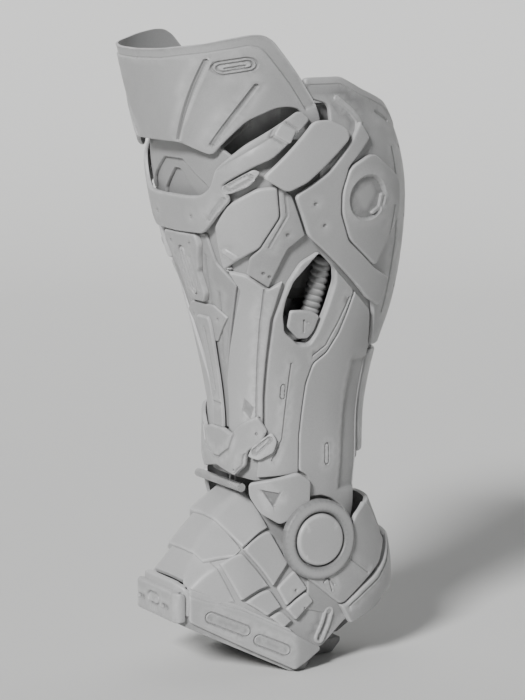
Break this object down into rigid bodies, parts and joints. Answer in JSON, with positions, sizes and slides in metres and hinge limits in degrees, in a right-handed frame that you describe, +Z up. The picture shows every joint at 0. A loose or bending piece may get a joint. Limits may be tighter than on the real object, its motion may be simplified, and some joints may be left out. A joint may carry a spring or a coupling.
{
  "type": "prosthetic leg",
  "caption": "Below-knee prosthetic leg in layered armour shells, with socket, hinged knee guard, side dampers and a rocker-sole foot on a flexing ankle.",
  "frame": {"origin": "on the ground, straight under the ankle axle, in the leg's plane of symmetry", "axes": "+Z up the shank, -Y to the toes, +X to the outer side"},
  "size_m": [0.2118, 0.2453, 0.5356],
  "materials": {
    "armour_shell": "satin moulded shell, neutral grey",
    "armour_light": "satin moulded plate, neutral grey",
    "under_shell": "matte moulded under-shell",
    "metal": "bead-blasted",
    "socket_laminate": "laminated socket",
    "liner_silicone": "soft liner",
    "rubber": "moulded rubber",
    "carbon": "composite leaf",
    "controls": "satin"
  },
  "bodies": {
    "shank": {"achilles_guard": "armour_shell", "ankle_bar": "metal", "ankle_block": "metal", "ankle_bush": "metal", "ankle_cuff": "armour_shell", "ankle_triangles": "armour_shell", "calf_shell": "armour_shell", "cheek_plates": "armour_light", "damper_bellows_left": "rubber", "damper_bellows_right": "rubber", "damper_heads": "metal", "diamond_plate": "armour_shell", "guard_pivots": "metal", "guard_yoke": "armour_shell", "joint_covers": "armour_shell", "joint_discs": "under_shell", "knee_steps": "under_shell", "lower_frame": "metal", "pylon_tube": "metal", "pyramid_adapter": "metal", "rear_panels": "armour_shell", "shin_clevis": "armour_shell", "shin_core": "under_shell", "shin_keel": "armour_shell", "shin_panels": "armour_light", "shin_shell": "under_shell", "shoulder_plates": "armour_light", "shuttle_lock": "metal", "side_braces": "armour_shell", "side_panels": "armour_shell", "socket": "socket_laminate", "socket_liner": "liner_silicone", "strap_plates": "under_shell", "tube_clamp": "metal", "upper_frame": "metal", "yoke_screws": "metal"},
    "foot": {"foot_shell": "under_shell", "instep_plate_1": "armour_light", "instep_plate_2": "armour_light", "instep_plate_3": "armour_light", "side_scales": "armour_light", "sole_platform": "rubber", "side_bumpers": "armour_shell", "toe_bumper": "armour_shell", "heel_cup": "under_shell", "ankle_stirrups": "armour_shell", "hub_discs": "armour_shell", "heel_cap": "armour_shell", "ankle_base": "metal", "ankle_axle": "metal", "keel_spring": "carbon"},
    "knee_guard": {"knee_guard": "armour_shell"},
    "release_button_left": {"release_button_left": "controls"},
    "upper_latch_left": {"upper_latch_left": "controls"},
    "lower_latch_left": {"lower_latch_left": "controls"},
    "damper_left": {"damper_plunger_left": "metal"},
    "release_button_right": {"release_button_right": "controls"},
    "upper_latch_right": {"upper_latch_right": "controls"},
    "lower_latch_right": {"lower_latch_right": "controls"},
    "damper_right": {"damper_plunger_right": "metal"}
  },
  "joints": [
    {"name": "ankle_flex", "type": "hinge", "parent": "shank", "child": "foot", "pos_m": [0, 0, 0.111], "axis": [1, 0, 0], "range_deg": [-6, 10], "stiffness_Nm_per_rad": 150},
    {"name": "knee_guard_lift", "type": "hinge", "parent": "shank", "child": "knee_guard", "pos_m": [0, -0.022, 0.452], "axis": [-1, 0, 0], "range_deg": [0, 20]},
    {"name": "damper_slide_left", "type": "slide", "parent": "shank", "child": "damper_left", "axis": [0, -0.2, -0.9798], "range_m": [-0.0042, 0.0066], "deforming": ["damper_bellows_left"]},
    {"name": "release_press_left", "type": "slide", "parent": "shank", "child": "release_button_left", "axis": [-1, 0, 0], "range_m": [0, 0.0015], "stiffness_N_per_m": 400},
    {"name": "upper_latch_pull_left", "type": "slide", "parent": "shank", "child": "upper_latch_left", "axis": [1, 0, 0], "range_m": [0, 0.003], "stiffness_N_per_m": 300},
    {"name": "lower_latch_pull_left", "type": "slide", "parent": "shank", "child": "lower_latch_left", "axis": [1, 0, 0], "range_m": [0, 0.003], "stiffness_N_per_m": 300},
    {"name": "damper_slide_right", "type": "slide", "parent": "shank", "child": "damper_right", "axis": [0, -0.2, -0.9798], "range_m": [-0.0042, 0.0066], "deforming": ["damper_bellows_right"]},
    {"name": "release_press_right", "type": "slide", "parent": "shank", "child": "release_button_right", "axis": [1, 0, 0], "range_m": [0, 0.0015], "stiffness_N_per_m": 400},
    {"name": "upper_latch_pull_right", "type": "slide", "parent": "shank", "child": "upper_latch_right", "axis": [-1, 0, 0], "range_m": [0, 0.003], "stiffness_N_per_m": 300},
    {"name": "lower_latch_pull_right", "type": "slide", "parent": "shank", "child": "lower_latch_right", "axis": [-1, 0, 0], "range_m": [0, 0.003], "stiffness_N_per_m": 300}
  ],
  "couplings": [
    {"joint": "damper_slide_left", "follows": "ankle_flex", "m_per_rad": 0.032},
    {"joint": "damper_slide_right", "follows": "ankle_flex", "m_per_rad": 0.032}
  ]
}
